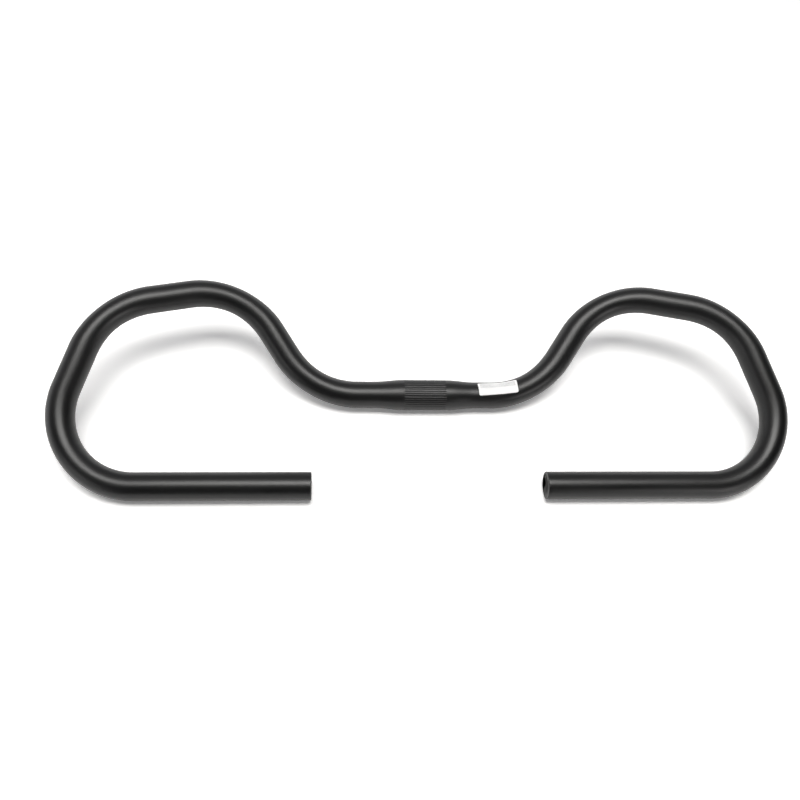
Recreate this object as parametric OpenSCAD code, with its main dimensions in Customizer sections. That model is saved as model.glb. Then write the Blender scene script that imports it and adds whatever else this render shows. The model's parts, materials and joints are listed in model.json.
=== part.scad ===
// Trekking handlebar bent from one aluminium tube, lying as it rests on a table.
// The clamp band is centred on the origin with the clamp axis along X, +Y points
// forward, away from the rider, and +Z up. The centreline of each arm is a chain
// of five straight legs between corner points, and each corner is a true arc with
// its own radius. The left arm is the right arm mirrored.

/* [Tube] */
// Outside diameter of the tube
tube_d = 22.2; // [20:0.1:24]
// Wall thickness of the tube
wall = 2.2; // [1.6:0.1:3]
// Chamfer of the cut ends, inside and outside
end_chamfer = 0.5; // [0.2:0.1:0.8]

/* [Clamp zone] */
// Outside diameter of the bulged middle, where the stem clamps
clamp_d = 25.4; // [25:0.1:31.8]
// Length of the cylindrical middle
clamp_length = 37; // [30:1:42]
// Plain margin between each end of the knurled band and its taper
knurl_margin = 1; // [0.5:0.5:3]
// Number of grooves around the knurled band
knurl_count = 36; // [24:1:40]
// Width of each round-bottomed groove, which is half as deep
knurl_groove_d = 0.5; // [0.3:0.05:0.6]
// Length of each taper from the clamp diameter down to the tube
taper_length = 24; // [12:1:28]

/* [Centreline] */
// Distance from the clamp centre to the inner corner, along the clamp axis
inner_corner_x = 95; // [90:1:100]
// Distance of the front inner corner from the middle
front_inner_x = 152; // [147:1:155]
// Distance of the front inner corner ahead of the clamp axis
front_inner_y = 77; // [72:1:82]
// Height of the front inner corner above the clamp axis
front_inner_z = 46; // [40:1:52]
// Distance of the front outer corner from the middle
front_outer_x = 261; // [255:1:265]
// Distance of the front outer corner ahead of the clamp axis
front_outer_y = 47; // [42:1:52]
// Height of the front outer corner above the clamp axis
front_outer_z = 54; // [48:1:58]
// Distance of the rear corner from the middle
rear_x = 311; // [305:1:317]
// Distance of the grips behind the clamp axis
grip_setback = 85; // [80:1:90]
// Clear distance between the two tube ends
end_gap = 186; // [150:1:200]

/* [Bend radii] */
// Centreline radius of the bend beside the clamp zone
inner_bend_r = 71; // [60:1:76]
// Centreline radius of the front inner bend
front_inner_bend_r = 64; // [55:1:70]
// Centreline radius of the front outer bend
front_outer_bend_r = 68; // [60:1:74]
// Centreline radius of the rear bend, which turns the tube back into the grip
rear_bend_r = 58; // [50:1:64]

/* [Label] */
// Distance from the clamp centre to the near edge of the label
label_start = 45; // [43:1:47]
// Length of the label along the tube
label_length = 35; // [20:1:38]
// Width of the label, measured straight across
label_width = 12; // [8:0.5:16]
// Direction the label faces around the tube, from the rear side upward
label_angle = 85; // [60:1:110]
// Thickness of the paper
label_thickness = 0.15; // [0.1:0.01:0.3]
// Gap between the tube and the paper, which the glue fills
label_glue = 0.05; // [0.04:0.01:0.1]

/* [Hidden] */
$fn = 96;
tube_r = tube_d / 2;
clamp_r = clamp_d / 2;

// A ball sits where each leg meets a bend. It is this much larger in radius than
// the tube, and the leg and the bend each end this far short of its centre.
ball_swell = 0.03;
ball_inset = 0.3;
// How far a cut reaches past the face that it opens
cut_past = 1;
// The label's part on the bend stands this much proud of its part on the middle
label_step = 0.02;
// Number of steps in the smooth curve of each taper
taper_steps = 14;

// The grips and the clamp band lie on one flat surface
grip_z = tube_r - clamp_r;

corners = [
    [0, 0, 0],
    [inner_corner_x, 0, 0],
    [front_inner_x, front_inner_y, front_inner_z],
    [front_outer_x, front_outer_y, front_outer_z],
    [rear_x, -grip_setback, grip_z],
    [end_gap / 2, -grip_setback, grip_z]
];
bend_radii = [inner_bend_r, front_inner_bend_r, front_outer_bend_r, rear_bend_r];
bend_count = len(bend_radii);

function unit(v) = v / norm(v);

// Part of vector v that is square to direction d, made one long
function square_to(v, d) = unit(v - (v * d) * d);

// Direction of each leg, from the clamp outward. Leg i ends at bend i.
leg_dirs = [for (i = [0 : bend_count]) unit(corners[i + 1] - corners[i])];

// Angle that the tube turns through at each bend
bend_angles = [for (i = [0 : bend_count - 1]) acos(leg_dirs[i] * leg_dirs[i + 1])];

// Distance from each corner back to where its bend starts
setbacks = [for (i = [0 : bend_count - 1]) bend_radii[i] * tan(bend_angles[i] / 2)];

// Point where each leg starts, and the length of the leg
leg_starts = [
    for (i = [0 : bend_count]) corners[i] + (i > 0 ? setbacks[i - 1] : 0) * leg_dirs[i]
];
leg_lengths = [
    for (i = [0 : bend_count])
        norm(corners[i + 1] - leg_starts[i]) - (i < bend_count ? setbacks[i] : 0)
];

// Side to which the tube turns at bend i, square to the leg before it
function turn_side(i) = square_to(leg_dirs[i + 1], leg_dirs[i]);

// Radius of the middle at a distance from the clamp centre, with a smooth taper
function taper_t(x) = min(1, max(0, (x - clamp_length / 2) / taper_length));
function middle_radius(x, mid_r, end_r) =
    end_r + (mid_r - end_r) * (1 + cos(180 * taper_t(x))) / 2;

// Puts its children in a frame with local +X along a direction and local +Y to a side
module in_frame(origin, along, side) {
    up = cross(along, side);
    multmatrix([
        [along.x, side.x, up.x, origin.x],
        [along.y, side.y, up.y, origin.y],
        [along.z, side.z, up.z, origin.z],
        [0, 0, 0, 1]
    ]) children();
}

// Frame at the start of leg i, for what is round about the leg
module at_leg(i) {
    in_frame(leg_starts[i], leg_dirs[i], square_to([0, 0, 1], leg_dirs[i])) children();
}

// Frame where leg i ends and bend i starts, with the bend's centre on local +Y
module at_bend(i) {
    in_frame(leg_starts[i] + leg_lengths[i] * leg_dirs[i], leg_dirs[i], turn_side(i)) children();
}

// Solid turned about local X from [radius, distance] points
module turned(points) {
    rotate([90, 0, 90]) rotate_extrude() polygon(points);
}

// Sweeps a 2D section along an arc that leaves the frame's origin along +X and turns
// toward +Y, between two angles. The section's own +X faces away from the centre.
module swept_arc(radius, from, to) {
    translate([0, radius, 0])
        rotate(from - 90)
            rotate_extrude(angle = to - from) translate([radius, 0]) children();
}

// Ball at the frame's origin that joins the leg and the bend that meet there
module ball(r) {
    rotate([0, 90, 0]) sphere(r + ball_swell);
}

// Bend i in its own frame, filled solid to a radius and short of the balls' centres
module bend(i, r) {
    inset_angle = ball_inset / bend_radii[i] * 180 / PI;
    swept_arc(bend_radii[i], inset_angle, bend_angles[i] - inset_angle) circle(r);
}

// Bends of one arm and the legs between them, filled solid to a radius
module arm(r) {
    for (i = [0 : bend_count - 1]) {
        at_bend(i) {
            ball(r);
            bend(i, r);
        }
        at_leg(i + 1) ball(r);
    }
    for (i = [1 : bend_count - 1])
        at_leg(i)
            translate([ball_inset, 0, 0])
                rotate([0, 90, 0]) cylinder(h = leg_lengths[i] - 2 * ball_inset, r = r);
}

// Its children on the right and again mirrored on the left
module both_sides() {
    children();
    mirror([1, 0, 0]) children();
}

// Middle of the bar from bend to bend, bulged at the clamp
module middle(mid_r, end_r) {
    reach = leg_lengths[0] - ball_inset;
    taper_x = [for (k = [0 : taper_steps]) clamp_length / 2 + taper_length * k / taper_steps];
    right = [for (x = taper_x) [middle_radius(x, mid_r, end_r), x]];
    left = [for (k = [taper_steps : -1 : 0]) [right[k][0], -right[k][1]]];
    turned(concat([[0, -reach], [end_r, -reach]], left, right, [[end_r, reach], [0, reach]]));
}

// Grip leg with its cut end chamfered on the outside
module grip_form() {
    length = leg_lengths[bend_count];
    at_leg(bend_count) turned([
        [0, ball_inset],
        [tube_r, ball_inset],
        [tube_r, length - end_chamfer],
        [tube_r - end_chamfer, length],
        [0, length]
    ]);
}

// Bore of the grip leg, opening out at 45 degrees through the cut end
module grip_bore() {
    length = leg_lengths[bend_count];
    bore_r = tube_r - wall;
    at_leg(bend_count) turned([
        [0, ball_inset],
        [bore_r, ball_inset],
        [bore_r, length - end_chamfer],
        [bore_r + end_chamfer + cut_past, length + cut_past],
        [0, length + cut_past]
    ]);
}

// Outer form of the bar before it is bored
module bar_form() {
    middle(clamp_r, tube_r);
    both_sides() {
        arm(tube_r);
        grip_form();
    }
}

// Bore that runs from one cut end to the other
module bar_bore() {
    middle(clamp_r - wall, tube_r - wall);
    both_sides() {
        arm(tube_r - wall);
        grip_bore();
    }
}

// Round-bottomed grooves cut along the clamp band
module knurl_grooves() {
    length = clamp_length - 2 * knurl_margin;
    for (k = [0 : knurl_count - 1])
        rotate([360 * k / knurl_count, 0, 0])
            translate([-length / 2, 0, clamp_r])
                rotate([0, 90, 0]) cylinder(h = length, d = knurl_groove_d, $fn = 16);
}

// The whole bar: one tube with one bore
module handlebar_tube() {
    color([0.09, 0.09, 0.1]) difference() {
        bar_form();
        bar_bore();
        knurl_grooves();
    }
}

// Section of the label before it is hollowed, with its face and edges moved out by a
// step. The turn aims it around the tube.
module label_section(turn, step) {
    rotate(turn) intersection() {
        circle(tube_r + label_glue + label_thickness + step);
        translate([0, -label_width / 2 - step]) square([tube_d, label_width + 2 * step]);
    }
}

// Label as one block that reaches to the tube's centreline, along the end of the
// middle and then along the start of the right bend
module label_block() {
    straight = leg_lengths[0] - label_start;
    bent = (label_length - straight) / inner_bend_r * 180 / PI;
    // Angle from the outside of the bend to where the label faces
    aim = label_angle + atan2(turn_side(0).z, turn_side(0).y);
    at_bend(0) {
        translate([-straight, 0, 0])
            rotate([90, 0, 90]) linear_extrude(straight + ball_inset) label_section(180 - aim, 0);
        swept_arc(inner_bend_r, 0, bent) label_section(aim, label_step);
    }
}

// Paper label wrapped around the tube, with room for the glue between them
module paper_label() {
    glued_r = tube_r + label_glue;
    color("white") difference() {
        label_block();
        middle(clamp_r + label_glue, glued_r);
        at_bend(0) {
            ball(glued_r);
            bend(0, glued_r);
        }
    }
}

handlebar_tube();
paper_label();
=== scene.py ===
"""Looks of a trekking handlebar: one bent black tube, its knurled clamp band and a paper label."""

import sys

import json
import logging
import math
from dataclasses import dataclass
from enum import Enum

import bmesh
import bpy
import numpy as np
from mathutils import Matrix, Vector

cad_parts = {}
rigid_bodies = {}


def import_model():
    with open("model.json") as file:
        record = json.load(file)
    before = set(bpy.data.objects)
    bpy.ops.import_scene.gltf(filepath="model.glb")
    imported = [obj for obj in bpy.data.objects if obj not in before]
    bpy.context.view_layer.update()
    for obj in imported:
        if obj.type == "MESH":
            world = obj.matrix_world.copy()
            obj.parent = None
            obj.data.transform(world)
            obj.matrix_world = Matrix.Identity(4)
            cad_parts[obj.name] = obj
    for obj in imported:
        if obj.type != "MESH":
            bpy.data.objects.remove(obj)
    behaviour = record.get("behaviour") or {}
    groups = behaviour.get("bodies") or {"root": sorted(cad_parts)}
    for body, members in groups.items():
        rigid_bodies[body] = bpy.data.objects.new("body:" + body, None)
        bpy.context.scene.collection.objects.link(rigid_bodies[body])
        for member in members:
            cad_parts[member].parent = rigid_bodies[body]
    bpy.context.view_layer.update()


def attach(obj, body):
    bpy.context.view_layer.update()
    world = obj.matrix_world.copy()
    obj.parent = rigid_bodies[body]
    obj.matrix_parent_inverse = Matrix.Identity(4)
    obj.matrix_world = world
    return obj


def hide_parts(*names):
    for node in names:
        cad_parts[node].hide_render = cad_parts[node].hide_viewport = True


log = logging.getLogger("handlebar")
MM = 0.001


class Side(Enum):
    """The two arms of the bar, by the sign of X."""

    RIGHT = 1
    LEFT = -1


def unit(v: np.ndarray) -> np.ndarray:
    """Returns the vector made one long."""
    return v / np.linalg.norm(v)


@dataclass(frozen=True)
class TubeSize:
    """Sizes of the tube's section and of its clamp zone, in millimetres."""

    tube_r: float = 11.1
    wall: float = 2.2
    clamp_r: float = 12.7
    clamp_half: float = 18.5
    taper: float = 24.0
    lip_r: float = 0.5

    def radius(self, x: float) -> float:
        """Outer radius of the middle.

        Args:
            x: distance from the clamp centre along the clamp axis.

        Returns:
            The radius, which eases from the clamp to the tube over the taper.
        """
        t = min(1.0, max(0.0, (abs(x) - self.clamp_half) / self.taper))
        return self.tube_r + (self.clamp_r - self.tube_r) * (1 + math.cos(math.pi * t)) / 2


@dataclass(frozen=True)
class Station:
    """One place on the centreline, in millimetres."""

    at: np.ndarray
    # Distance from the clamp centre along the centreline
    along: float
    # Direction toward the centre of the bend, or zero on a leg
    side: np.ndarray
    # How fully the section is shaped here, from 0 to 1: flattened in a bend or grooved
    shaping: float


class Centreline:
    """The right arm's path: straight legs between corners, with an arc at each corner."""

    CORNERS = (
        (0, 0, 0),
        (95, 0, 0),
        (152, 77, 46),
        (261, 47, 54),
        (311, -85, -1.6),
        (93, -85, -1.6),
    )
    RADII = (71, 64, 68, 58)

    def __init__(self) -> None:
        """Works out each leg's direction, start and length and each bend's angle."""
        c = np.array(self.CORNERS, float)
        self.dirs = [unit(b - a) for a, b in zip(c, c[1:])]
        self.angles = [math.acos(float(a @ b)) for a, b in zip(self.dirs, self.dirs[1:])]
        back = [r * math.tan(a / 2) for r, a in zip(self.RADII, self.angles)] + [0.0]
        legs = range(len(self.dirs))
        self.starts = [c[0]] + [c[i] + back[i - 1] * self.dirs[i] for i in legs[1:]]
        self.lengths = [
            float(np.linalg.norm(c[i + 1] - self.starts[i])) - back[i] for i in legs
        ]

    def bend_side(self, i: int) -> np.ndarray:
        """Returns the direction from where bend i starts to its centre."""
        d, e = self.dirs[i], self.dirs[i + 1]
        return unit(e - (e @ d) * d)

    def stations(self, first: float, leg_step: float, bend_step: float) -> list[Station]:
        """Places along the arm, from a distance beside the clamp centre to the cut end.

        Args:
            first: distance from the clamp centre to the first place.
            leg_step: longest step on a straight leg.
            bend_step: longest step in a bend.

        Returns:
            The places in order.
        """
        found: list[Station] = []
        run = 0.0
        for i, (start, d, length) in enumerate(zip(self.starts, self.dirs, self.lengths)):
            t0 = first if i == 0 else 0.0
            n = max(1, math.ceil((length - t0) / leg_step))
            for t in np.linspace(t0, length, n + 1)[(1 if i else 0) :]:
                found.append(Station(start + t * d, run + t, np.zeros(3), 0.0))
            run += length
            if i == len(self.RADII):
                break
            r, angle, side = self.RADII[i], self.angles[i], self.bend_side(i)
            origin = start + length * d
            n = math.ceil(r * angle / bend_step)
            for a in np.linspace(0, angle, n + 1)[1:]:
                at = origin + r * (math.sin(a) * d + (1 - math.cos(a)) * side)
                inward = math.cos(a) * side - math.sin(a) * d
                found.append(
                    Station(at, run + r * a, inward, math.sin(math.pi * a / angle) ** 2)
                )
            run += r * angle
        return found


class NodeGraph:
    """Short way to add and join nodes in one node tree."""

    def __init__(self, tree: bpy.types.NodeTree) -> None:
        """Keeps the tree that the nodes go into."""
        self.tree = tree

    def add(self, kind: str, inputs: dict | None = None, **settings: object) -> bpy.types.Node:
        """Adds a node.

        Args:
            kind: the node's Blender type.
            inputs: socket name or number to a value, or to a socket to link from.
            settings: the node's own properties.

        Returns:
            The new node.
        """
        node = self.tree.nodes.new(kind)
        for name, value in settings.items():
            setattr(node, name, value)
        for key, value in (inputs or {}).items():
            if isinstance(value, bpy.types.NodeSocket):
                self.tree.links.new(value, node.inputs[key])
            else:
                node.inputs[key].default_value = value
        return node

    def math(self, operation: str, *values: object) -> bpy.types.NodeSocket:
        """Adds a Math node.

        Args:
            operation: the node's operation.
            values: a number or a socket for each input.

        Returns:
            The result's socket.
        """
        kind = "ShaderNodeMath"
        return self.add(kind, dict(enumerate(values)), operation=operation).outputs[0]

    def vector(self, operation: str, *values: object) -> bpy.types.Node:
        """Adds a Vector Math node.

        Args:
            operation: the node's operation.
            values: a vector or a socket for each input in order.

        Returns:
            The node, whose outputs are a vector and a value.
        """
        return self.add("ShaderNodeVectorMath", dict(enumerate(values)), operation=operation)

    def between(
        self,
        value: bpy.types.NodeSocket,
        found: tuple[float, float],
        wanted: tuple[float, float],
        **settings: object,
    ) -> bpy.types.NodeSocket:
        """Adds a Map Range node, which also clamps.

        Args:
            value: the value to map.
            found: the two ends of the value's range.
            wanted: what the two ends become.
            settings: the node's own properties.

        Returns:
            The mapped value's socket.
        """
        inputs = dict(enumerate((value, *found, *wanted)))
        return self.add("ShaderNodeMapRange", inputs, **settings).outputs[0]

    def named(self, name: str, data_type: str = "FLOAT") -> bpy.types.NodeSocket:
        """Returns the socket of a named attribute in a geometry tree."""
        return self.add(
            "GeometryNodeInputNamedAttribute", {"Name": name}, data_type=data_type
        ).outputs[0]


class ShapeTree(NodeGraph):
    """A Geometry Nodes tree with named inputs that ends in one realised, dressed mesh."""

    def __init__(self, name: str, sizes: dict[str, str]) -> None:
        """Makes the tree and its sockets.

        Args:
            name: the tree's name.
            sizes: input name to socket type.
        """
        super().__init__(bpy.data.node_groups.new(name, "GeometryNodeTree"))
        face = self.tree.interface
        face.new_socket("Rail", in_out="INPUT", socket_type="NodeSocketGeometry")
        self.ids = {
            key: face.new_socket(key, in_out="INPUT", socket_type=kind).identifier
            for key, kind in {**sizes, "Finish": "NodeSocketMaterial"}.items()
        }
        face.new_socket("Shape", in_out="OUTPUT", socket_type="NodeSocketGeometry")
        self.inlet = self.tree.nodes.new("NodeGroupInput").outputs

    def sweep(self, around: object) -> bpy.types.NodeSocket:
        """Sweeps a circle along the rail, which carries its own radius at each point.

        Args:
            around: the number of points around the circle, or a socket that gives it.

        Returns:
            The swept mesh, with the rail's place kept at each point.
        """
        rail = self.add("GeometryNodeMeshToCurve", {"Mesh": self.inlet["Rail"]}).outputs[0]
        kept = self.store(rail, "axis_point", self.add("GeometryNodeInputPosition").outputs[0])
        kept = self.store(kept, "rail_normal", self.add("GeometryNodeInputNormal").outputs[0])
        kept = self.store(kept, "rail_tangent", self.add("GeometryNodeInputTangent").outputs[0])
        ring = self.add("GeometryNodeCurvePrimitiveCircle", {"Resolution": around, "Radius": 1.0})
        sizes = {"Curve": kept, "Profile Curve": ring.outputs[0], "Scale": self.named("radius")}
        return self.add("GeometryNodeCurveToMesh", sizes).outputs[0]

    def store(
        self, geometry: bpy.types.NodeSocket, name: str, value: bpy.types.NodeSocket
    ) -> bpy.types.NodeSocket:
        """Stores a vector on each point.

        Args:
            geometry: what to store it on.
            name: the attribute's name.
            value: the vector.

        Returns:
            The geometry with the attribute on it.
        """
        return self.add(
            "GeometryNodeStoreNamedAttribute",
            {"Geometry": geometry, "Name": name, "Value": value},
            data_type="FLOAT_VECTOR",
            domain="POINT",
        ).outputs[0]

    def from_axis(self) -> bpy.types.NodeSocket:
        """Returns the vector from the rail to each point of the swept mesh."""
        here = self.add("GeometryNodeInputPosition").outputs[0]
        return self.vector("SUBTRACT", here, self.named("axis_point", "FLOAT_VECTOR")).outputs[0]

    def close(self, geometry: bpy.types.NodeSocket) -> None:
        """Ends the tree in a smooth, realised and dressed mesh.

        Args:
            geometry: the shaped geometry.
        """
        smooth = self.add("GeometryNodeSetShadeSmooth", {"Geometry": geometry})
        real = self.add("GeometryNodeRealizeInstances", {"Geometry": smooth.outputs[0]})
        dressed = self.add(
            "GeometryNodeSetMaterial",
            {"Geometry": real.outputs[0], "Material": self.inlet["Finish"]},
        )
        self.add("NodeGroupOutput", {"Shape": dressed.outputs[0]})

    def grow(self, rail: bpy.types.Mesh, sizes: dict[str, object]) -> bpy.types.Mesh:
        """Runs the tree on a rail.

        Args:
            rail: the mesh that the tree starts from.
            sizes: input name to value.

        Returns:
            The result as a plain mesh.
        """
        start = bpy.data.objects.new("rail", rail)
        bpy.context.scene.collection.objects.link(start)
        modifier = start.modifiers.new("shape", "NODES")
        modifier.node_group = self.tree
        for key, value in sizes.items():
            modifier[self.ids[key]] = value
        graph = bpy.context.evaluated_depsgraph_get()
        made = bpy.data.meshes.new_from_object(start.evaluated_get(graph), depsgraph=graph)
        start.modifiers.remove(modifier)
        bpy.data.objects.remove(start)
        return made


def tube_tree() -> ShapeTree:
    """Makes the tree that sweeps the tube along its path.

    Returns:
        The tree, which also flattens the tube slightly in the bends.
    """
    tree = ShapeTree(
        "tube_along_path", {"Points around": "NodeSocketInt", "Flattening": "NodeSocketFloat"}
    )
    swept = tree.sweep(tree.inlet["Points around"])
    side = tree.named("side", "FLOAT_VECTOR")
    reach = tree.vector("DOT_PRODUCT", tree.from_axis(), side).outputs["Value"]
    share = tree.math("MULTIPLY", tree.named("shaping"), tree.inlet["Flattening"])
    pull = tree.math("MULTIPLY", tree.math("MULTIPLY", reach, share), -1.0)
    move = tree.add("ShaderNodeVectorMath", {0: side, "Scale": pull}, operation="SCALE")
    shaped = tree.add(
        "GeometryNodeSetPosition", {"Geometry": swept, "Offset": move.outputs[0]}
    ).outputs[0]
    tree.close(straighten(tree, shaped))
    return tree


def straighten(tree: ShapeTree, geometry: bpy.types.NodeSocket) -> bpy.types.NodeSocket:
    """Stores where each point would lie if the tube were straight, for the finish to follow.

    Args:
        tree: the tree that holds the swept tube.
        geometry: the swept tube.

    Returns:
        The geometry with the straightened place stored.
    """
    normal = tree.named("rail_normal", "FLOAT_VECTOR")
    third = tree.vector("CROSS_PRODUCT", tree.named("rail_tangent", "FLOAT_VECTOR"), normal)
    away = tree.from_axis()
    place = tree.add(
        "ShaderNodeCombineXYZ",
        {
            0: tree.named("along"),
            1: tree.vector("DOT_PRODUCT", away, normal).outputs["Value"],
            2: tree.vector("DOT_PRODUCT", away, third.outputs[0]).outputs["Value"],
        },
    )
    return tree.store(geometry, "straightened", place.outputs[0])


def knurl_tree() -> ShapeTree:
    """Makes the tree that rolls a ring of soft-edged grooves into the clamp band.

    Returns:
        The tree. Crowding moves points toward each groove, where the surface turns most.
    """
    tree = ShapeTree(
        "knurled_band",
        {
            "Grooves": "NodeSocketInt",
            "Points per groove": "NodeSocketInt",
            "Groove half width": "NodeSocketFloat",
            "Groove depth": "NodeSocketFloat",
            "Band radius": "NodeSocketFloat",
            "Crowding": "NodeSocketFloat",
        },
    )
    m, inlet = tree.math, tree.inlet
    full_turn = 2 * math.pi
    grooved = tree.named("shaping")
    around = m("MULTIPLY", inlet["Grooves"], inlet["Points per groove"])
    swept = tree.sweep(around)
    xyz = tree.add("ShaderNodeSeparateXYZ", {0: tree.add("GeometryNodeInputPosition").outputs[0]})
    pitch = m("DIVIDE", full_turn, inlet["Grooves"])
    turns = m("DIVIDE", m("ARCTAN2", xyz.outputs["Z"], xyz.outputs["Y"]), pitch)
    crowd = m("MULTIPLY", m("DIVIDE", inlet["Crowding"], full_turn), grooved)
    moved = m("SUBTRACT", turns, m("MULTIPLY", crowd, m("SINE", m("MULTIPLY", turns, full_turn))))
    across = m("MULTIPLY", m("SUBTRACT", moved, m("ROUND", moved)), pitch)
    across = m("MULTIPLY", across, inlet["Band radius"])
    inside = m("SUBTRACT", 1.0, m("DIVIDE", m("ABSOLUTE", across), inlet["Groove half width"]))
    wave = m("COSINE", m("MULTIPLY", m("MAXIMUM", inside, 0.0), math.pi))
    dip = m("MULTIPLY", m("SUBTRACT", 1.0, wave), m("MULTIPLY", inlet["Groove depth"], 0.5))
    radius = m("SUBTRACT", inlet["Band radius"], m("MULTIPLY", dip, grooved))
    angle = m("MULTIPLY", moved, pitch)
    place = tree.add(
        "ShaderNodeCombineXYZ",
        {
            0: xyz.outputs["X"],
            1: m("MULTIPLY", radius, m("COSINE", angle)),
            2: m("MULTIPLY", radius, m("SINE", angle)),
        },
    )
    cut = tree.add("GeometryNodeSetPosition", {"Geometry": swept, "Position": place.outputs[0]})
    tree.close(straighten(tree, cut.outputs[0]))
    return tree


class Shader(NodeGraph):
    """Nodes of one procedural finish on a Principled shader."""

    # Nearly all values of a noise lie between these
    NOISE_RANGE = (0.3, 0.7)

    def __init__(self, name: str) -> None:
        """Makes the material and finds its shader.

        Args:
            name: the material's name.
        """
        self.material = bpy.data.materials.new(name)
        self.material.use_nodes = True
        super().__init__(self.material.node_tree)
        self.skin = self.tree.nodes["Principled BSDF"]

    def set(self, **values: object) -> None:
        """Sets or links the shader's sockets.

        Args:
            values: socket name, with _ for each space, to a value or a socket.
        """
        for key, value in values.items():
            socket = self.skin.inputs[key.replace("_", " ")]
            if isinstance(value, bpy.types.NodeSocket):
                self.tree.links.new(value, socket)
            else:
                socket.default_value = value

    def attribute(self, name: str) -> bpy.types.NodeSocket:
        """Returns the socket of a vector attribute of the mesh."""
        return self.add("ShaderNodeAttribute", attribute_name=name).outputs["Vector"]

    def noise(
        self, at: bpy.types.NodeSocket, scale: tuple[float, float, float], detail: float
    ) -> bpy.types.NodeSocket:
        """Noise with its own scale along each axis.

        Args:
            at: the coordinates.
            scale: repeats in one unit of the coordinates along each axis.
            detail: octaves of finer noise.

        Returns:
            The noise value's socket.
        """
        spread = self.vector("MULTIPLY", at, scale).outputs[0]
        node = self.add("ShaderNodeTexNoise", {"Vector": spread, "Scale": 1.0, "Detail": detail})
        return node.outputs["Fac"]

    def spread(
        self, noise: bpy.types.NodeSocket, wanted: tuple[float, float]
    ) -> bpy.types.NodeSocket:
        """Returns a noise with the range that it mostly keeps to spread over a wanted one."""
        return self.between(noise, self.NOISE_RANGE, wanted)

    def inside(
        self, value: bpy.types.NodeSocket, span: tuple[float, float]
    ) -> bpy.types.NodeSocket:
        """Returns 1 where a value lies within a span, and 0 elsewhere."""
        over = self.math("GREATER_THAN", value, span[0])
        return self.math("MULTIPLY", over, self.math("LESS_THAN", value, span[1]))

    def blend(
        self,
        share: bpy.types.NodeSocket,
        first: tuple[float, float, float],
        second: tuple[float, float, float],
    ) -> bpy.types.NodeSocket:
        """Returns a mix of two colours, all of the second where the share is 1."""
        inputs = {"Factor": share, "A": (*first, 1), "B": (*second, 1)}
        return self.add("ShaderNodeMix", inputs, data_type="RGBA").outputs["Result"]

    def bump(
        self, height: bpy.types.NodeSocket, depth: float, under: object = None
    ) -> bpy.types.NodeSocket:
        """Adds a bump.

        Args:
            height: the pattern, from 0 to 1.
            depth: the height in metres that 1 stands for.
            under: the normal to lay it on, or None for the surface's own.

        Returns:
            The bumped normal's socket.
        """
        inputs = {"Height": height, "Distance": depth, "Strength": 1.0}
        if under is not None:
            inputs["Normal"] = under
        return self.add("ShaderNodeBump", inputs).outputs[0]


@dataclass(frozen=True)
class SatinBlack:
    """Satin black coat on drawn aluminium: fine grain over faint lines along the tube."""

    name: str = "satin_black_coat"
    dark: tuple[float, float, float] = (0.0012, 0.0012, 0.0013)
    light: tuple[float, float, float] = (0.0028, 0.0028, 0.0030)
    roughness: tuple[float, float] = (0.35, 0.41)
    # How far the grain moves the roughness down and up
    speckle: tuple[float, float] = (-0.02, 0.02)
    # Repeats in a metre along the tube and across it
    line_scale: tuple[float, float, float] = (18, 1700, 1700)
    grain_scale: tuple[float, float, float] = (2600, 2600, 2600)
    cloud_scale: tuple[float, float, float] = (22, 60, 60)
    # Heights in metres
    grain_depth: float = 3e-6
    line_depth: float = 2e-6

    def build(self) -> bpy.types.Material:
        """Builds the material on the tube's straightened coordinates.

        Returns:
            The material.
        """
        s = Shader(self.name)
        at = s.attribute("straightened")
        lines = s.noise(at, self.line_scale, 2.0)
        grain = s.noise(at, self.grain_scale, 2.0)
        cloud = s.noise(at, self.cloud_scale, 3.0)
        rough = s.math("ADD", s.spread(cloud, self.roughness), s.spread(grain, self.speckle))
        drawn = s.bump(lines, self.line_depth)
        s.set(
            Base_Color=s.blend(s.spread(cloud, (0.0, 1.0)), self.dark, self.light),
            Roughness=rough,
            Normal=s.bump(grain, self.grain_depth, drawn),
            IOR=1.5,
        )
        return s.material


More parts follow.
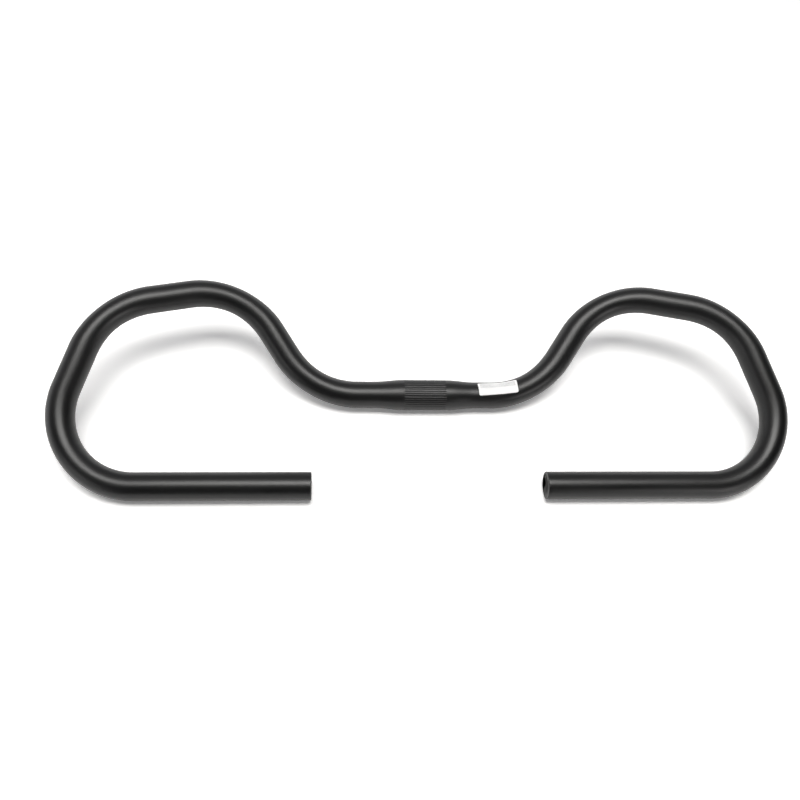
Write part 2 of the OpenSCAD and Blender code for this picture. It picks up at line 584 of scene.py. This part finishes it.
@dataclass(frozen=True)
class LabelPaper:
    """White paper with a soft fibre, and rows of soft grey lines where print would be.

    Lengths and places are in millimetres on the flat sheet, u along it and v across it.
    """

    name: str = "label_paper"
    white: tuple[float, float, float] = (0.92, 0.92, 0.915)
    ink: tuple[float, float, float] = (0.36, 0.36, 0.37)
    roughness: tuple[float, float] = (0.5, 0.62)
    row_pitch: float = 0.95
    # Where the ink of a row starts and ends, as shares of the pitch
    row_span: tuple[float, float] = (0.2, 0.75)
    # Where the print starts and ends
    print_u: tuple[float, float] = (1.5, 31.6)
    print_v: tuple[float, float] = (6.25, 11.25)
    # Noise along a row that makes its ink weaker and stronger
    fade_scale: float = 0.1
    fade_noise: tuple[float, float] = (0.35, 0.6)
    fade_ink: tuple[float, float] = (0.5, 1.0)
    # Step through that noise from row to row, so that no two rows fade alike
    row_step: float = 7.3
    # How far the fibre takes the ink back
    fibre_ink: tuple[float, float] = (0.6, 1.0)
    # Repeats in a millimetre
    fibre_scale: tuple[float, float, float] = (3.0, 3.0, 3.0)
    wave_scale: tuple[float, float, float] = (0.16, 0.3, 1.0)
    # Heights in metres
    fibre_depth: float = 8e-6
    wave_depth: float = 1.2e-4

    def rows(self, s: Shader, at: bpy.types.NodeSocket) -> bpy.types.NodeSocket:
        """Makes the rows of grey lines.

        Args:
            s: the shader to add them to.
            at: the place on the sheet.

        Returns:
            The ink's share, from 0 to 1.
        """
        xyz = s.add("ShaderNodeSeparateXYZ", {0: at})
        u, v = xyz.outputs["X"], xyz.outputs["Y"]
        counted = s.math("DIVIDE", v, self.row_pitch)
        in_row = s.inside(s.math("FRACT", counted), self.row_span)
        row = s.math("MULTIPLY", s.math("FLOOR", counted), self.row_step)
        place = s.add("ShaderNodeCombineXYZ", {0: u, 1: row, 2: 0.0}).outputs[0]
        inputs = {"Vector": place, "Scale": self.fade_scale, "Detail": 1.0}
        noise = s.add("ShaderNodeTexNoise", inputs).outputs["Fac"]
        strength = s.between(noise, self.fade_noise, self.fade_ink)
        printed = s.math("MULTIPLY", s.inside(v, self.print_v), s.inside(u, self.print_u))
        return s.math("MULTIPLY", s.math("MULTIPLY", in_row, strength), printed)

    def build(self) -> bpy.types.Material:
        """Builds the material on the label's own unrolled coordinates.

        Returns:
            The material.
        """
        s = Shader(self.name)
        at = s.attribute("unrolled")
        fibre = s.noise(at, self.fibre_scale, 4.0)
        ink = s.math("MULTIPLY", self.rows(s, at), s.spread(fibre, self.fibre_ink))
        waves = s.noise(at, self.wave_scale, 1.0)
        s.set(
            Base_Color=s.blend(ink, self.white, self.ink),
            Roughness=s.spread(fibre, self.roughness),
            Normal=s.bump(fibre, self.fibre_depth, s.bump(waves, self.wave_depth)),
            IOR=1.45,
        )
        return s.material


def rail_mesh(places: list[Station], radii: list[float], mirrored: bool = False) -> bpy.types.Mesh:
    """Polyline in metres that carries what the sweep needs at each point.

    Args:
        places: where the rail runs.
        radii: the section's radius at each place, in millimetres.
        mirrored: True for the left arm.

    Returns:
        A mesh of one open chain of edges.
    """
    flip = np.array([-1.0 if mirrored else 1.0, 1.0, 1.0])
    mesh = bpy.data.meshes.new("rail")
    points = [tuple(p.at * flip * MM) for p in places]
    mesh.from_pydata(points, [(i, i + 1) for i in range(len(points) - 1)], [])
    for name, values in (
        ("radius", [r * MM for r in radii]),
        ("shaping", [p.shaping for p in places]),
        ("along", [p.along * (-MM if mirrored else MM) for p in places]),
    ):
        mesh.attributes.new(name, "FLOAT", "POINT").data.foreach_set("value", values)
    sides = np.array([p.side * flip for p in places], dtype=np.float32)
    mesh.attributes.new("side", "FLOAT_VECTOR", "POINT").data.foreach_set("vector", sides.ravel())
    return mesh


def finished_piece(
    name: str, bm: bmesh.types.BMesh, finish: bpy.types.Material, sharp_deg: float
) -> bpy.types.Object:
    """Turns an edited mesh into a dressed piece, reports it and frees the edited mesh.

    Args:
        name: the piece's name.
        bm: the edited mesh.
        finish: the piece's material.
        sharp_deg: the least angle between two faces that shows as a sharp edge.

    Returns:
        The piece, linked to the scene.
    """
    open_edges = sum(not e.is_manifold for e in bm.edges)
    mesh = bpy.data.meshes.new(name)
    bm.to_mesh(mesh)
    bm.free()
    mesh.materials.clear()
    mesh.materials.append(finish)
    mesh.shade_smooth()
    mesh.set_sharp_from_angle(angle=math.radians(sharp_deg))
    piece = bpy.data.objects.new(name, mesh)
    bpy.context.scene.collection.objects.link(piece)
    log.info("%s: %d faces, %d open edges", name, len(mesh.polygons), open_edges)
    return piece


@dataclass
class BentTube:
    """The whole bar: outer tube, knurled band, bore and rounded cut ends, as one mesh.

    Lengths are in millimetres.
    """

    size: TubeSize
    path: Centreline
    coat: bpy.types.Material
    around: int = 108
    # Longest steps on a leg and in a bend
    outer_steps: tuple[float, float] = (2.6, 2.0)
    bore_steps: tuple[float, float] = (5.0, 5.0)
    # Share of its radius that the section loses in the middle of a bend
    flattening: float = 0.045
    groove_count: int = 36
    points_per_groove: int = 12
    crowding: float = 0.35
    groove_half: float = 0.55
    groove_depth: float = 0.2
    band_half: float = 17.5
    band_places: int = 15
    # Distances beyond the grooved length at which the band is plain again
    run_out: float = 0.03
    plain_ring: float = 0.4
    lip_steps: int = 4
    # In metres: points this near each other are one, and this near the band's end on it
    weld: float = 3e-6
    touch: float = 1e-6
    sharp_deg: float = 45.0

    def outer_rail(self, side: Side) -> bpy.types.Mesh:
        """Rail of one arm's outside, from the clamp band to the rounded edge of its end.

        Args:
            side: which arm.

        Returns:
            The rail.
        """
        places = self.path.stations(self.size.clamp_half, *self.outer_steps)
        radii = [self.size.radius(p.at[0]) for p in places]
        places, radii = self.with_lip(places, radii, -self.size.lip_r)
        return rail_mesh(places, radii, side is Side.LEFT)

    def with_lip(
        self, places: list[Station], radii: list[float], turn: float
    ) -> tuple[list[Station], list[float]]:
        """Rounds the cut end.

        Args:
            places: the rail up to the cut end.
            radii: its radii.
            turn: how far the radius changes at the end, less than 0 to turn inward.

        Returns:
            The rail and radii with the rounded edge in place of the last point.
        """
        last, d = places[-1], self.path.dirs[-1]
        reach = abs(turn)
        kept, sizes = places[:-1], radii[:-1]
        for k in range(self.lip_steps + 1):
            a = math.pi / 2 * k / self.lip_steps
            back = reach * (1 - math.sin(a))
            kept.append(Station(last.at - back * d, last.along - back, last.side, 0.0))
            sizes.append(radii[-1] + turn * (1 - math.cos(a)))
        return kept, sizes

    def bore_rail(self) -> bpy.types.Mesh:
        """Rail of the bore, from the left mouth through the clamp zone to the right mouth.

        Returns:
            The rail.
        """
        places = self.path.stations(0.0, *self.bore_steps)
        radii = [self.size.radius(p.at[0]) - self.size.wall for p in places]
        places, radii = self.with_lip(places, radii, self.size.lip_r)
        flip = np.array([-1.0, 1.0, 1.0])
        left = [Station(p.at * flip, -p.along, p.side * flip, p.shaping) for p in places[:0:-1]]
        return rail_mesh(left + places, radii[:0:-1] + radii)

    def band_rail(self) -> bpy.types.Mesh:
        """Rail of the clamp band, plain at its ends and grooved between them.

        Returns:
            The rail.
        """
        half = self.band_half
        plain = [half + self.run_out, half + self.plain_ring, self.size.clamp_half]
        grooved = np.linspace(-half, half, self.band_places)
        places = [
            Station(np.array([x, 0.0, 0.0]), float(x), np.zeros(3), shaping)
            for xs, shaping in (([-x for x in plain[::-1]], 0.0), (grooved, 1.0), (plain, 0.0))
            for x in xs
        ]
        return rail_mesh(places, [self.size.clamp_r] * len(places))

    def build(self) -> bpy.types.Object:
        """Grows every surface and welds them into one closed mesh.

        Returns:
            The piece.
        """
        tube, knurl = tube_tree(), knurl_tree()
        sizes = {"Points around": self.around, "Flattening": self.flattening, "Finish": self.coat}
        whole = bmesh.new()
        for side in Side:
            arm = self.faces(tube.grow(self.outer_rail(side), sizes))
            self.match_band(arm)
            self.pour(arm, whole)
        grooves = {
            "Grooves": self.groove_count,
            "Points per groove": self.points_per_groove,
            "Groove half width": self.groove_half * MM,
            "Groove depth": self.groove_depth * MM,
            "Band radius": self.size.clamp_r * MM,
            "Crowding": self.crowding,
            "Finish": self.coat,
        }
        self.pour(self.faces(knurl.grow(self.band_rail(), grooves)), whole)
        self.pour(self.faces(tube.grow(self.bore_rail(), sizes)), whole)
        bmesh.ops.remove_doubles(whole, verts=whole.verts, dist=self.weld)
        self.close_ends(whole)
        bmesh.ops.recalc_face_normals(whole, faces=whole.faces)
        return finished_piece("bent_tube", whole, self.coat, self.sharp_deg)

    @staticmethod
    def faces(mesh: bpy.types.Mesh) -> bmesh.types.BMesh:
        """Opens a mesh for editing.

        Args:
            mesh: the plain mesh.

        Returns:
            The edited mesh.
        """
        bm = bmesh.new()
        bm.from_mesh(mesh)
        return bm

    @staticmethod
    def pour(part: bmesh.types.BMesh, whole: bmesh.types.BMesh) -> None:
        """Adds a part's faces to the whole and frees the part.

        Args:
            part: the edited mesh to add.
            whole: the edited mesh that takes it.
        """
        mesh = bpy.data.meshes.new("part")
        part.to_mesh(mesh)
        part.free()
        whole.from_mesh(mesh)
        bpy.data.meshes.remove(mesh)

    def match_band(self, arm: bmesh.types.BMesh) -> None:
        """Gives the arm's first ring as many points as the band's edge has.

        Args:
            arm: the edited mesh of one arm's outside.
        """
        cuts = self.groove_count * self.points_per_groove // self.around - 1
        near = self.size.clamp_half * MM + self.touch
        rim = [e for e in arm.edges if e.is_boundary and abs(e.verts[0].co.x) < near]
        bmesh.ops.subdivide_edges(arm, edges=rim, cuts=cuts)
        layer = arm.verts.layers.float_vector["straightened"]
        for v in arm.verts:
            if v.is_boundary and abs(v.co.x) < near:
                grow = self.size.clamp_r * MM / math.hypot(v.co.y, v.co.z)
                v.co.y *= grow
                v.co.z *= grow
                v[layer] = Vector((v[layer].x, v[layer].y * grow, v[layer].z * grow))

    @staticmethod
    def close_ends(whole: bmesh.types.BMesh) -> None:
        """Bridges the outer tube to the bore with a flat ring at each cut end.

        Args:
            whole: the edited mesh of the whole bar.
        """
        for side in Side:
            rims = [e for e in whole.edges if e.is_boundary and e.verts[0].co.x * side.value > 0]
            bmesh.ops.bridge_loops(whole, edges=rims)


@dataclass
class PaperLabel:
    """Small paper label that starts on the middle and runs on into the right bend.

    Lengths are in millimetres.
    """

    path: Centreline
    size: TubeSize
    paper: bpy.types.Material
    start: float = 44.8
    length: float = 33.2
    width: float = 12.3
    # Where the near end faces, from the rear side upward, and the sheet's slant
    faces_deg: float = 86.8
    skew_deg: float = 4.4
    glue: float = 0.05
    thickness: float = 0.15
    # Height of the lower face above the tube, within the glue
    underside: float = 0.005
    corner_r: float = 1.5
    # Steps along the sheet and across it, and places that round each end's corners
    steps: tuple[int, int] = (70, 26)
    corner_places: int = 7
    # Short steps from the sheet's middle to a point beside it
    hops: int = 8
    sharp_deg: float = 40.0

    def foot(self, p: np.ndarray) -> np.ndarray:
        """Nearest point of the centreline to a point near the middle or the first bend.

        Args:
            p: the point.

        Returns:
            The point on the centreline.
        """
        d, side = self.path.dirs[0], self.path.bend_side(0)
        straight, r = self.path.lengths[0], self.path.RADII[0]
        if p @ d <= straight:
            return (p @ d) * d
        centre = straight * d + r * side
        turn = math.atan2((p - centre) @ d, -((p - centre) @ side))
        return centre + r * (math.sin(turn) * d - math.cos(turn) * side)

    def walk(
        self, p: np.ndarray, way: np.ndarray, far: float, hops: int = 1
    ) -> tuple[np.ndarray, np.ndarray]:
        """Goes straight ahead on the tube's surface, as a flat sheet does when it is wrapped.

        Args:
            p: the point on the surface to start from.
            way: the direction to go in.
            far: how far to go.
            hops: the number of short steps.

        Returns:
            The point that is reached and the direction there.
        """
        for _ in range(hops):
            p = p + way * far / hops
            out = unit(p - self.foot(p))
            p = self.foot(p) + self.size.tube_r * out
            way = unit(way - (way @ out) * out)
        return p, way

    def spread(self) -> np.ndarray:
        """Distances along the label, closer together at its rounded corners.

        Returns:
            The distances, from 0 to the label's length.
        """
        corner, few = self.corner_r, self.corner_places
        ease = corner * (1 - np.cos(np.linspace(0, math.pi / 2, few)))
        middle = np.linspace(corner, self.length - corner, self.steps[0] - 2 * few + 3)[1:-1]
        return np.concatenate([ease, middle, self.length - ease[::-1]])

    def lay(self, bm: bmesh.types.BMesh) -> tuple[list, list]:
        """Lays the points of both faces of the sheet on the tube.

        Args:
            bm: the edited mesh to add them to.

        Returns:
            The lower face's rows of points and the upper face's, along the label.
        """
        place = bm.verts.layers.float_vector.new("unrolled")
        low, top = [], []
        turn, skew = math.radians(self.faces_deg), math.radians(self.skew_deg)
        out = np.array([0.0, -math.cos(turn), math.sin(turn)])
        d = self.path.dirs[0]
        p = self.start * d + self.size.tube_r * out
        way = math.cos(skew) * d + math.sin(skew) * np.cross(out, d)
        before = 0.0
        for u in self.spread():
            p, way = self.walk(p, way, u - before)
            before = u
            short = max(0.0, self.corner_r - min(u, self.length - u))
            cut = self.corner_r - math.sqrt(max(0.0, self.corner_r**2 - short**2))
            across = np.cross(unit(p - self.foot(p)), way)
            for rows in (low, top):
                rows.append([])
            for v in np.linspace(-1, 1, self.steps[1] + 1):
                w = v * (self.width / 2 - cut)
                q, _ = self.walk(p, across, w, self.hops)
                away = unit(q - self.foot(q))
                for rows, lift in ((low, self.underside), (top, self.glue + self.thickness)):
                    vert = bm.verts.new((q + lift * away) * MM)
                    vert[place] = (u, self.width / 2 + w, lift)
                    rows[-1].append(vert)
        return low, top

    def build(self) -> bpy.types.Object:
        """Builds the wrapped sheet with rounded corners.

        Returns:
            The piece.
        """
        bm = bmesh.new()
        low, top = self.lay(bm)
        nu, nv = self.steps
        for i in range(nu):
            for j in range(nv):
                bm.faces.new((top[i][j], top[i + 1][j], top[i + 1][j + 1], top[i][j + 1]))
                bm.faces.new((low[i][j + 1], low[i + 1][j + 1], low[i + 1][j], low[i][j]))
        for i in range(nu):
            for j in (0, nv):
                bm.faces.new((low[i][j], low[i + 1][j], top[i + 1][j], top[i][j]))
        for j in range(nv):
            for i in (0, nu):
                bm.faces.new((low[i][j], low[i][j + 1], top[i][j + 1], top[i][j]))
        bmesh.ops.recalc_face_normals(bm, faces=bm.faces)
        return finished_piece("wrapped_label", bm, self.paper, self.sharp_deg)


@dataclass(frozen=True)
class Lamp:
    """One soft rectangular light, with lengths in metres and power in watts."""

    name: str
    at: tuple[float, float, float]
    size: tuple[float, float]
    power: float
    tint: tuple[float, float, float]
    aim: tuple[float, float, float] = (0.0, 0.0, 0.0)

    def hang(self) -> None:
        """Adds the light to the scene."""
        data = bpy.data.lights.new(self.name, "AREA")
        data.shape = "RECTANGLE"
        data.size, data.size_y = self.size
        data.energy = self.power
        data.color = self.tint
        lamp = bpy.data.objects.new(self.name, data)
        lamp.location = self.at
        lamp.visible_camera = False
        ahead = Vector(self.aim) - Vector(self.at)
        lamp.rotation_euler = ahead.to_track_quat("-Z", "Y").to_euler()
        bpy.context.scene.collection.objects.link(lamp)


@dataclass
class Studio:
    """Pale floor, overhead light and a camera at the photograph's angle, in metres."""

    # Camera, with angles in degrees and its lens in pixels of the square photograph
    eye: tuple[float, float, float] = (-0.072325, -0.376371, 0.563990)
    yaw: float = 7.9744
    pitch: float = 56.4226
    roll: float = 6.9546
    focal_px: float = 805.807
    photo_px: float = 800
    # The fit counts from the middle of a pixel, which is half a pixel off the corner
    shift_px: tuple[float, float] = (-0.5, 0.5)
    sensor_mm: float = 36.0
    clip: tuple[float, float] = (0.01, 50.0)
    floor_z: float = -0.0127
    floor_r: float = 40.0
    # Floor's tone for light that falls on it, and for rays that see it
    floor_tones: tuple[float, float] = (0.93, 1.1)
    # Tone and glow that only the camera sees on top
    floor_gain: float = 0.12
    floor_lift: float = 0.13
    # Distances from the middle between which the floor fades to white
    floor_fade: tuple[float, float] = (0.45, 0.85)
    # Room in the reflections: brighter toward one side and toward the horizon
    bright_side: tuple[float, float, float] = (-0.34, 0.94, 0.0)
    side_ramp: tuple[float, float] = (-0.2, 0.45)
    height_ramp: tuple[float, float] = (0.0, 0.5)
    wall_glow: tuple[float, float] = (1.8, 0.3)
    room_glow: float = 0.04
    room_tint: tuple[float, float, float] = (0.985, 0.985, 1.0)
    lamps: tuple[Lamp, ...] = (
        Lamp("overhead", (0.0, -0.12, 2.6), (2.0, 1.05), 65.0, (1.0, 0.99, 0.97)),
        Lamp("right_front", (1.5, -1.95, 0.5), (1.0, 0.8), 9.5, (1.0, 0.98, 0.97)),
        Lamp("left_front", (-1.95, -1.5, 0.6), (1.0, 0.8), 5.0, (1.0, 0.98, 0.99)),
    )

    def camera(self) -> None:
        """Sets the camera on the fitted place, direction and lens."""
        yaw, pitch, roll = (math.radians(a) for a in (self.yaw, self.pitch, self.roll))
        ahead = Vector(
            (math.sin(yaw) * math.cos(pitch), math.cos(yaw) * math.cos(pitch), -math.sin(pitch))
        )
        level = Vector((math.cos(yaw), -math.sin(yaw), 0.0))
        upright = level.cross(ahead)
        right = level * math.cos(roll) + upright * math.sin(roll)
        up = upright * math.cos(roll) - level * math.sin(roll)
        data = bpy.data.cameras.new("photo_camera")
        data.sensor_width = self.sensor_mm
        data.lens = self.focal_px * data.sensor_width / self.photo_px
        data.clip_start, data.clip_end = self.clip
        data.shift_x, data.shift_y = (px / self.photo_px for px in self.shift_px)
        cam = bpy.data.objects.new("photo_camera", data)
        turned = Matrix((right, up, -ahead)).transposed().to_4x4()
        cam.matrix_world = Matrix.Translation(self.eye) @ turned
        bpy.context.scene.collection.objects.link(cam)
        bpy.context.scene.camera = cam

    def floor_finish(self) -> bpy.types.Material:
        """Makes the pale floor's finish, which keeps the bar's shadow and fades to white.

        Returns:
            The material.
        """
        s = Shader("pale_floor")
        at = s.add("ShaderNodeTexCoord").outputs["Object"]
        far = s.between(s.vector("LENGTH", at).outputs["Value"], self.floor_fade, (0.0, 1.0))
        path = s.add("ShaderNodeLightPath").outputs
        camera = path["Is Camera Ray"]
        seen = s.math("MAXIMUM", camera, path["Is Glossy Ray"])
        seen = s.math("MAXIMUM", seen, path["Is Transmission Ray"])
        pale = s.between(seen, (0.0, 1.0), self.floor_tones)
        pale = s.math("ADD", pale, s.math("MULTIPLY", camera, self.floor_gain))
        paint = s.add("ShaderNodeBsdfDiffuse", {"Color": pale})
        faint = s.math("MULTIPLY", camera, self.floor_lift)
        lift = s.add("ShaderNodeEmission", {"Strength": faint})
        near = s.add("ShaderNodeAddShader", {0: paint.outputs[0], 1: lift.outputs[0]})
        glow = s.add("ShaderNodeEmission", {"Color": (1, 1, 1, 1), "Strength": 1.0})
        white = s.math("MULTIPLY", far, seen)
        mix = s.add("ShaderNodeMixShader", {0: white, 1: near.outputs[0], 2: glow.outputs[0]})
        out = s.tree.nodes["Material Output"]
        s.tree.links.new(mix.outputs[0], out.inputs["Surface"])
        return s.material

    def floor(self) -> None:
        """Lays the floor under the bar."""
        bm = bmesh.new()
        bmesh.ops.create_circle(bm, cap_ends=True, radius=self.floor_r, segments=96)
        bmesh.ops.translate(bm, verts=bm.verts, vec=(0, 0, self.floor_z))
        mesh = bpy.data.meshes.new("floor")
        bm.to_mesh(mesh)
        bm.free()
        mesh.materials.append(self.floor_finish())
        floor = bpy.data.objects.new("floor", mesh)
        bpy.context.scene.collection.objects.link(floor)

    def room(self) -> None:
        """Makes the world: white where it is seen, and a plain room where it is reflected."""
        world = bpy.data.worlds.new("room")
        bpy.context.scene.world = world
        world.use_nodes = True
        g = NodeGraph(world.node_tree)
        way = g.add("ShaderNodeTexCoord").outputs["Generated"]
        toward = g.vector("DOT_PRODUCT", way, self.bright_side).outputs["Value"]
        height = g.add("ShaderNodeSeparateXYZ", {0: way}).outputs["Z"]
        smooth = {"interpolation_type": "SMOOTHSTEP"}
        side = g.between(toward, self.side_ramp, (0.0, 1.0), **smooth)
        rise = g.between(height, self.height_ramp, self.wall_glow, **smooth)
        wall = g.math("MULTIPLY", side, rise)
        path = g.add("ShaderNodeLightPath").outputs
        seen = g.math("MAXIMUM", path["Is Camera Ray"], path["Is Transmission Ray"])
        hidden = g.math("SUBTRACT", 1.0, seen)
        room = g.math("MULTIPLY", g.math("ADD", wall, self.room_glow), hidden)
        back = g.tree.nodes["Background"]
        back.inputs["Color"].default_value = (*self.room_tint, 1)
        g.tree.links.new(g.math("ADD", room, seen), back.inputs["Strength"])

    def build(self) -> None:
        """Sets the view and makes the camera, floor, lights and room."""
        bpy.context.scene.view_settings.view_transform = "Standard"
        self.camera()
        self.floor()
        for lamp in self.lamps:
            lamp.hang()
        self.room()
        log.info("studio: camera, floor, %d lamps and room", len(self.lamps))


def main() -> None:
    """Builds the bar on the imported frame."""
    logging.basicConfig(level=logging.INFO, format="%(name)s: %(message)s", stream=sys.stdout)
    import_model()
    Studio().build()
    size, path = TubeSize(), Centreline()
    tube = BentTube(size, path, SatinBlack().build()).build()
    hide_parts("handlebar_tube")
    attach(tube, "root")
    label = PaperLabel(path, size, LabelPaper().build()).build()
    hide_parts("paper_label")
    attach(label, "root")


if __name__ == "__main__":
    main()
